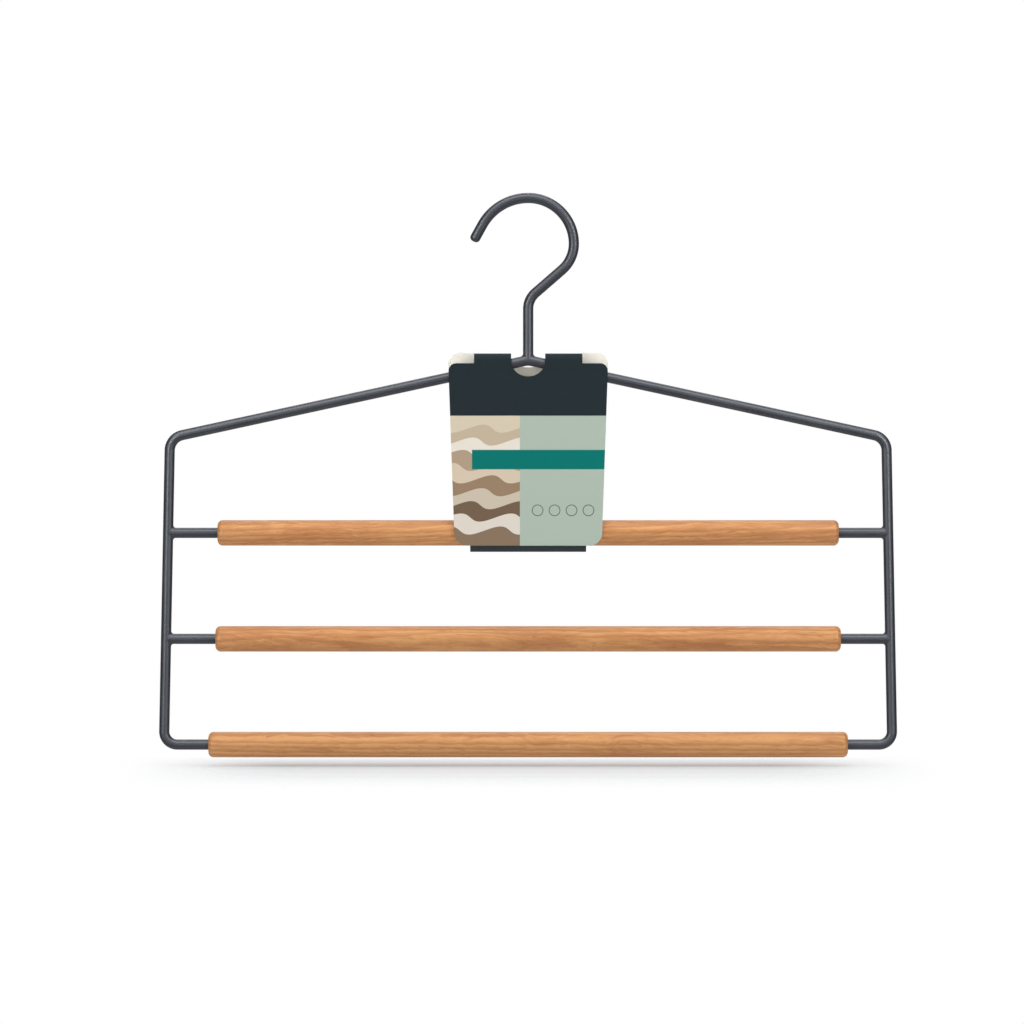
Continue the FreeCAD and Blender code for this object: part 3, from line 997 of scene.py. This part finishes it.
@dataclass
class TurnedBar:
    """A round wooden bar with rounded ends and a blind bore in each. Sizes are in millimetres."""

    tier: Tier
    cut: Cut
    radius: float = 6.65
    end_round: float = 2.7
    bore_radius: float = 2.78
    bore_chamfer: float = 0.3
    crease: float = 50.0

    def profile(self) -> Array:
        """Draw the bar from the bottom of one bore over its outside to the other.

        The rounded end is a quarter circle from the end face to the outside.

        Returns:
            Distance along the bar and radius of each point.
        """
        half = self.tier.half
        turn = np.linspace(0.0, QUARTER_TURN, 17)
        bore = np.array((
            (half - BORE_DEPTH, self.bore_radius),
            (half - self.bore_chamfer, self.bore_radius),
            (half, self.bore_radius + self.bore_chamfer),
        ))
        corner = np.stack((
            half - self.end_round * (1.0 - np.cos(turn)),
            self.radius - self.end_round * (1.0 - np.sin(turn)),
        ), axis=1)
        right = np.vstack((bore, corner))
        return np.vstack((right * (-1.0, 1.0), right[::-1]))

    def finish(self) -> LacqueredWood:
        """The bar's own cut of wood."""
        return LacqueredWood(
            name=f"lacquered_wood_{self.tier.name.lower()}",
            axis_height=self.tier.axis * MM,
            half_length=self.tier.half * MM,
            cut=self.cut,
        )

    def build(self) -> None:
        """Turn the bar and dress it."""
        rings = turned_rings(self.profile(), self.tier.axis)
        piece = Skin.over_rings(rings).piece(f"turned_{self.tier.node}", self.crease)
        fasten(piece, self.tier.body, [self.tier.node], [self.finish().material()])


@dataclass
class CardSleeve:
    """The folded, die-cut card round the apex and the top bar. Sizes are in millimetres.

    The board is drawn flat as patches of distance across and distance along, and then bent along
    its section: up the front, over the fold, down the back, under the bar and up behind the front.
    Heights on a panel count from the line where it leaves the fold.
    """

    print_finish: PrintedBoard
    inside_finish: BareBoard
    edge_finish: BareBoard
    thickness: float = 0.5
    fold_radius: float = 3.15
    fold_height: float = -81.65
    strap_radius: float = 7.1
    strap_height: float = -173.8
    glue_gap: float = 0.02
    panel_top: float = -1.45
    panel_bottom: float = -96.05
    top_half: float = 41.5
    bottom_half: float = 38.2
    top_round: float = 4.2
    bottom_round: float = 6.2
    back_top: float = 3.65
    back_top_round: float = 6.2
    front_notch: float = 8.25
    back_notch: float = 3.9
    notch_half: float = 8.85
    tab_edge: float = 28.15
    strap_half: float = 30.15
    strap_lap: float = 12.0
    corner_lift: float = 0.3
    corner_rows: int = 15
    plain_rows: int = 14
    row_gap: float = 0.002
    block_columns: int = 8
    fold_steps: int = 28
    strap_steps: int = 44
    join_gap: float = 0.001

    @property
    def span(self) -> float:
        """Distance between the fold's axis and the strap's."""
        return self.fold_height - self.strap_height

    @property
    def front_tilt(self) -> float:
        """Lean of the front panel, tangent to the fold and to the strap's lap."""
        lap_radius = self.strap_radius + self.thickness + self.glue_gap
        return math.asin((lap_radius - self.fold_radius) / self.span)

    @property
    def back_tilt(self) -> float:
        """Lean of the back panel, tangent to the fold and to the strap."""
        return math.asin((self.strap_radius - self.fold_radius) / self.span)

    def on_front(self, heights: Array, axis: float, radius: float) -> Array:
        """Place heights on a plane of the front's lean that touches a round.

        Args:
            heights: Heights along the plane from where it touches.
            axis: Height of the round's axis.
            radius: The round's radius.

        Returns:
            Y and Z of each height.
        """
        lean = self.front_tilt
        touch = np.array((-radius * math.cos(lean), axis + radius * math.sin(lean)))
        return touch + heights[:, None] * (math.sin(lean), math.cos(lean))

    def on_back(self, heights: Array) -> Array:
        """Place heights on the back panel's plane, as Y and Z."""
        lean = self.back_tilt
        touch = np.array((math.cos(lean), math.sin(lean))) * self.fold_radius + (0.0, self.fold_height)
        return touch + heights[:, None] * (-math.sin(lean), math.cos(lean))

    @staticmethod
    def round_about(axis: float, radius: float, start: float, end: float, steps: int) -> Array:
        """Place a steady turn about an axis along X, as Y and Z."""
        angle = np.linspace(start, end, steps + 1)
        return np.stack((radius * np.cos(angle), axis + radius * np.sin(angle)), axis=1)

    def notch_edge(self, heights: Array, depth: float) -> Array:
        """Half width at each height of a notch that is half an ellipse of a depth, and 0 below it."""
        share = np.clip(heights, -depth, 0.0) / depth
        return self.notch_half * np.sqrt(np.clip(1.0 - share ** 2, 0.0, 1.0))

    @staticmethod
    def corner_cut(past: Array, radius: float) -> Array:
        """What a quarter circle takes off an edge at distances past the corner's start."""
        return radius - np.sqrt(radius ** 2 - np.clip(past, 0.0, radius) ** 2)

    def outline(self, top: float, top_round: float, bottom: float, notch: float) -> tuple[Array, Array]:
        """Choose a panel's rows, which follow its corners and notch, and the block edges of each.

        The outer edge is a taper less a quarter circle at each corner.

        Args:
            top: Height of the top row.
            top_round: Radius of the top corners.
            bottom: Height of the bottom row.
            notch: Depth of the notch.

        Returns:
            Heights from the bottom row to the top row, and the edges by row.
        """
        turn = np.linspace(0.0, QUARTER_TURN, self.corner_rows)
        rows = np.concatenate((
            bottom + self.bottom_round * (1.0 - np.cos(turn)),
            np.linspace(bottom + self.bottom_round, -notch, self.plain_rows),
            -notch * np.sin(turn),
            top - top_round * (1.0 - np.cos(turn)),
        ))
        rows = np.sort(rows[(rows >= bottom) & (rows <= top)])
        rows = rows[np.append(True, np.diff(rows) > self.row_gap)]
        taper = np.interp(rows, (self.panel_bottom, self.panel_top), (self.bottom_half, self.top_half))
        upper = self.corner_cut(rows - (top - top_round), top_round)
        lower = self.corner_cut(bottom + self.bottom_round - rows, self.bottom_round)
        return rows, self.edges(self.notch_edge(rows, notch), taper - upper - lower)

    def across(self, edges: Array, first: int, last: int) -> Array:
        """Spread columns over blocks of a row.

        Args:
            edges: The notch's edge, the tab's edge, the strap's edge and the outer edge of each row.
            first: Edge that the columns start from.
            last: Edge that they end on.

        Returns:
            Distance from the middle by row and column.
        """
        steps = np.linspace(first, last, self.block_columns * (last - first) + 1)
        block = np.minimum(steps.astype(int), last - 1)
        share = steps - block
        return edges[:, block] * (1.0 - share) + edges[:, block + 1] * share

    def edges(self, inner: Array, outer: Union[float, Array]) -> Array:
        """The four block edges of each row, from the notch's edge to the outer one."""
        rows = np.zeros(len(inner))
        return np.stack((inner, rows + self.tab_edge, rows + self.strap_half, rows + outer), axis=1)

    @staticmethod
    def patch(across: Array, section: Array) -> Skin:
        """Bend a flat patch along its section.

        Args:
            across: X by row and column.
            section: Y and Z of each row.

        Returns:
            The patch and its mirror image.
        """
        y = np.broadcast_to(section[:, :1], across.shape)
        z = np.broadcast_to(section[:, 1:], across.shape)
        return Skin.over_grid(np.stack((across, y, z), axis=-1)).both_sides()

    def front(self) -> Skin:
        """Cut the front panel, whose lower corners lift a little outside the strap.

        Returns:
            The front panel.
        """
        rows, edges = self.outline(self.panel_top, self.top_round, self.panel_bottom, self.front_notch)
        section = self.on_front(rows, self.fold_height, self.fold_radius)
        panel = self.patch(self.across(edges, 0, 3), section)
        x, y, z = panel.vertices.T
        free = np.clip((np.abs(x) - self.strap_half) / (self.bottom_half - self.strap_half), 0.0, 1.0)
        low = np.clip((self.strap_height + self.strap_lap - z) / self.strap_lap, 0.0, 1.5)
        lifted = np.stack((x, y - self.corner_lift * free ** 2 * low ** 2 / 2.0, z), axis=1)
        return Skin(lifted, panel.quads, panel.triangles)

    def tabs(self) -> Skin:
        """Cut the two tabs that run from the front panel over the fold.

        Returns:
            The tabs.
        """
        rows = np.linspace(self.panel_top, 0.0, 4)
        rise = self.on_front(rows, self.fold_height, self.fold_radius)
        start = math.pi - self.front_tilt
        turn = self.round_about(self.fold_height, self.fold_radius, start, self.back_tilt, self.fold_steps)
        beside = np.full(self.fold_steps, self.notch_half)
        inner = np.concatenate((self.notch_edge(rows, self.front_notch), beside))
        across = self.across(self.edges(inner, self.top_half), 0, 1)
        return self.patch(across, np.vstack((rise, turn[1:])))

    def back(self) -> Skin:
        """Cut the back panel up to the fold and its two corners beside the tabs.

        Returns:
            The back panel.
        """
        bottom = -self.span * math.cos(self.back_tilt)
        rows, edges = self.outline(self.back_top, self.back_top_round, bottom, self.back_notch)
        section = self.on_back(rows)
        low = np.flatnonzero(rows <= 0.0)[::-1]
        high = np.flatnonzero(rows >= 0.0)[::-1]
        panel = self.patch(self.across(edges[low], 0, 3), section[low])
        corners = self.patch(self.across(edges[high], 1, 3), section[high])
        return Skin.together((panel, corners))

    def strap(self) -> Skin:
        """Cut the strap that runs from the back under the bar to its glued lap.

        Returns:
            The strap.
        """
        end = -math.pi - self.front_tilt
        turn = self.round_about(self.strap_height, self.strap_radius, self.back_tilt, end, self.strap_steps)
        lap = self.on_front(np.linspace(0.0, self.strap_lap, 9)[1:], self.strap_height, self.strap_radius)
        section = np.vstack((turn, lap))
        edges = self.edges(np.zeros(len(section)), self.bottom_half)
        return self.patch(self.across(edges, 0, 2), section)

    def build(self) -> None:
        """Join the patches, give the board its thickness and dress it."""
        sheet = Skin.together((self.front(), self.tabs(), self.back(), self.strap()))
        piece = sheet.piece("folded_card_sleeve")
        mesh = bmesh.new()
        mesh.from_mesh(piece.data)
        bmesh.ops.remove_doubles(mesh, verts=mesh.verts, dist=self.join_gap * MM)
        mesh.to_mesh(piece.data)
        mesh.free()
        finishes = (self.print_finish, self.inside_finish, self.edge_finish)
        materials = [finish.material() for finish in finishes]
        fasten(piece, "card", ["display_card"], materials)
        self.thicken(piece)

    def thicken(self, piece: bpy.types.Object) -> None:
        """Give the sheet its thickness and keep its cut edges sharp.

        Args:
            piece: The sheet, with its materials.
        """
        board = piece.modifiers.new("board", "SOLIDIFY")
        board.thickness = self.thickness * MM
        board.offset = 1.0
        board.use_even_offset = True
        board.material_offset = BoardFace.INSIDE.value
        board.material_offset_rim = BoardFace.EDGE.value
        finished = piece.evaluated_get(bpy.context.evaluated_depsgraph_get())
        mesh = bpy.data.meshes.new_from_object(finished)
        piece.modifiers.clear()
        piece.data = mesh
        mesh.set_sharp_from_angle(angle=math.radians(CREASE_ANGLE))


@dataclass(frozen=True)
class PaleFloor:
    """Matt floor, greyer than the white background, that fades out into it: besides the shadows that the
    lamps cast, its grey near the hanger is painted shade.
    """

    name: str = "pale_floor"
    # Painted shade: a grey below the background's white, so that the floor reads darker near the hanger;
    # its faint blue offsets the warm light that the wood throws on it.
    base: Colour = (0.625, 0.658, 0.685, 1.0)
    share: float = 0.72
    fade_along: Pair = (0.12, 0.22)
    fade_front: Pair = (0.0, 0.11)
    fade_back: Pair = (0.004, 0.05)

    def material(self) -> bpy.types.Material:
        """Fade a diffuse grey to clear with the distances along and across the bars, so that the floor
        paints a soft shade that is strongest near the hanger.

        Returns:
            The floor's material.
        """
        material, graph, place = new_graph(self.name)
        along, across, _ = graph.axes(place)
        near_along = 1.0 - graph.rise(along.math("ABSOLUTE"), *self.fade_along)
        near_front = 1.0 - graph.rise(0.0 - across, *self.fade_front)
        near_back = 1.0 - graph.rise(across, *self.fade_back)
        # Painted shade: this diffuse is the floor's grey, which shows most near the hanger and fades out
        # with distance.
        white = graph.node("BsdfDiffuse", None, {"Color": self.base})
        clear = graph.node("BsdfTransparent")
        near = near_along * near_front * near_back * self.share
        mixed = graph.node("MixShader", None, {0: near, 1: clear, 2: white})
        graph.node("OutputMaterial", None, {"Surface": mixed})
        return material


@dataclass(frozen=True)
class SoftBox:
    """A soft rectangular light. Sizes are in metres.

    Attributes:
        name: The light's name.
        place: Where it hangs.
        aim: The point that it faces.
        size: Its width and height.
        watts: Its power.
        spread: Opening of its beam, in degrees.
        mirrored: Whether glossy surfaces show it.
    """

    name: str
    place: Triple
    aim: Triple
    size: Pair
    watts: float
    spread: float = 180.0
    mirrored: bool = True

    def hang(self) -> None:
        """Hang the light and turn it to its aim."""
        lamp = bpy.data.lights.new(self.name, "AREA")
        lamp.shape = "RECTANGLE"
        lamp.size, lamp.size_y = self.size
        lamp.energy = self.watts
        lamp.spread = math.radians(self.spread)
        made = put(self.name, lamp)
        made.location = self.place
        made.visible_glossy = self.mirrored
        toward = Vector(self.aim) - Vector(self.place)
        made.rotation_euler = toward.to_track_quat("-Z", "Y").to_euler()


@dataclass
class Studio:
    """Floor, soft lights, white surroundings and camera. Sizes are in metres."""

    floor: PaleFloor
    floor_gap: float = 0.0045
    floor_half: float = 0.3
    frame_width: float = 0.533
    aim: Triple = (-0.0084, 0.0, -0.1606)
    elevation: float = 4.2
    distance: float = 3.4
    sensor: float = 36.0
    ambient: float = 0.22
    glow_below: float = 0.86
    camera_side: float = 1.25
    camera_gap: float = 0.1
    over_camera: float = 3.1
    floor_side: float = 0.32

    def lay_floor(self) -> None:
        """Lay the floor just below the bottom bar."""
        height = CAD_BOX[0].z - self.floor_gap
        half = self.floor_half
        signs = ((-1, -1), (1, -1), (1, 1), (-1, 1))
        corners = [(x * half, y * half, height) for x, y in signs]
        mesh = bpy.data.meshes.new("studio_floor")
        mesh.from_pydata(corners, [], [(0, 1, 2, 3)])
        mesh.materials.append(self.floor.material())
        made = put("studio_floor", mesh)

    def surround(self) -> None:
        """Show the camera white, show gloss pale screens round the camera, and light the rest softly."""
        world = bpy.data.worlds.new("white_studio")
        world.use_nodes = True
        bpy.context.scene.world = world
        graph = Graph(world.node_tree)
        camera = graph.node("LightPath", output="Is Camera Ray")
        gloss = camera.other("Is Glossy Ray").math("MAXIMUM", camera.other("Is Transmission Ray"))
        sideways, forward, upward = graph.axes(graph.node("TexCoord", output="Generated"))
        aside = graph.rise(sideways.math("ABSOLUTE"), 0.02, 0.32)
        beside = graph.rise(forward, -0.15, -0.8) * graph.rise(upward, -0.5, 0.0) * self.camera_side
        beside = beside * (self.camera_gap + (1.0 - self.camera_gap) * aside)
        above = graph.rise(upward, 0.55, 0.85) * graph.rise(upward, 1.0, 0.97) * self.over_camera
        above = above * graph.rise(forward, 0.05, -0.2)
        below = graph.rise(upward, -0.3, -0.9) * self.floor_side
        mirror = graph.rise(forward, 0.6, 1.0) + beside + above + below
        soft = self.ambient + self.glow_below * graph.rise(upward, 0.1, -0.7)
        strength = camera.math("MAXIMUM", gloss * mirror + (1.0 - gloss) * soft)
        inputs = {"Color": (1.0, 1.0, 1.0, 1.0), "Strength": strength}
        back = graph.node("Background", None, inputs)
        graph.node("OutputWorld", None, {"Surface": back})

    def set_camera(self) -> None:
        """Stand a long lens in front of the hanger, a little above its middle."""
        lens = bpy.data.cameras.new("photo_camera")
        lens.sensor_width = self.sensor
        lens.lens = self.sensor * self.distance / self.frame_width
        lens.clip_end = 20.0
        made = put("photo_camera", lens)
        lift = math.radians(self.elevation)
        back = Vector((0.0, -math.cos(lift), math.sin(lift)))
        made.location = Vector(self.aim) + back * self.distance
        made.rotation_euler = (-back).to_track_quat("-Z", "Y").to_euler()
        bpy.context.scene.camera = made

    def build(self) -> None:
        """Set up the whole studio."""
        self.lay_floor()
        self.surround()
        lights = [
            SoftBox("top_softbox", (0.0, -0.24, 1.12), self.aim, (1.2, 1.1), watts=16.0, mirrored=False),
            SoftBox("rear_softbox", (0.0, 0.8, 0.95), self.aim, (1.0, 0.5), watts=4.2),
        ]
        for side in Side:
            hand = side.name.lower()
            fill = (side.value * 0.8, -1.7, 0.05)
            strip = (side.value * 0.42, -0.44, 0.0)
            strip_aim = (side.value * 0.13, 0.0, -0.14)
            lights += [
                SoftBox(f"{hand}_fill", fill, self.aim, (0.5, 0.7), watts=1.3),
                SoftBox(f"{hand}_strip", strip, strip_aim, (0.08, 0.56), watts=0.25, spread=70.0),
            ]
        for light in lights:
            light.hang()
        self.set_camera()
        bpy.context.scene.view_settings.view_transform = "Standard"


def main() -> None:
    """Build the hanger's pieces and the studio in order."""
    logging.basicConfig(level=logging.INFO, format="%(name)s: %(message)s")
    WeldedWire(GraphiteCoat()).build()
    bars = (
        TurnedBar(Tier.TOP, Cut((0.31, 0.02, 0.05), (0.012, -0.019), (0.016, -0.02), 0.05)),
        TurnedBar(Tier.MIDDLE, Cut((1.47, 0.11, 0.23), (-0.017, -0.013), (-0.012, 0.018), -0.04)),
        TurnedBar(Tier.BOTTOM, Cut((5.37, 0.94, 0.71), (0.014, -0.017), (0.024, 0.016), -0.05, 0.08)),
    )
    for bar in bars:
        bar.build()
    inside = BareBoard("cream_board", screen_colour(251, 248, 238), screen_colour(246, 242, 230))
    edge = BareBoard("cut_board_edge", screen_colour(226, 222, 212), screen_colour(190, 184, 172))
    CardSleeve(PrintedBoard(), inside, edge).build()
    Studio(PaleFloor()).build()


if __name__ == "__main__":
    main()
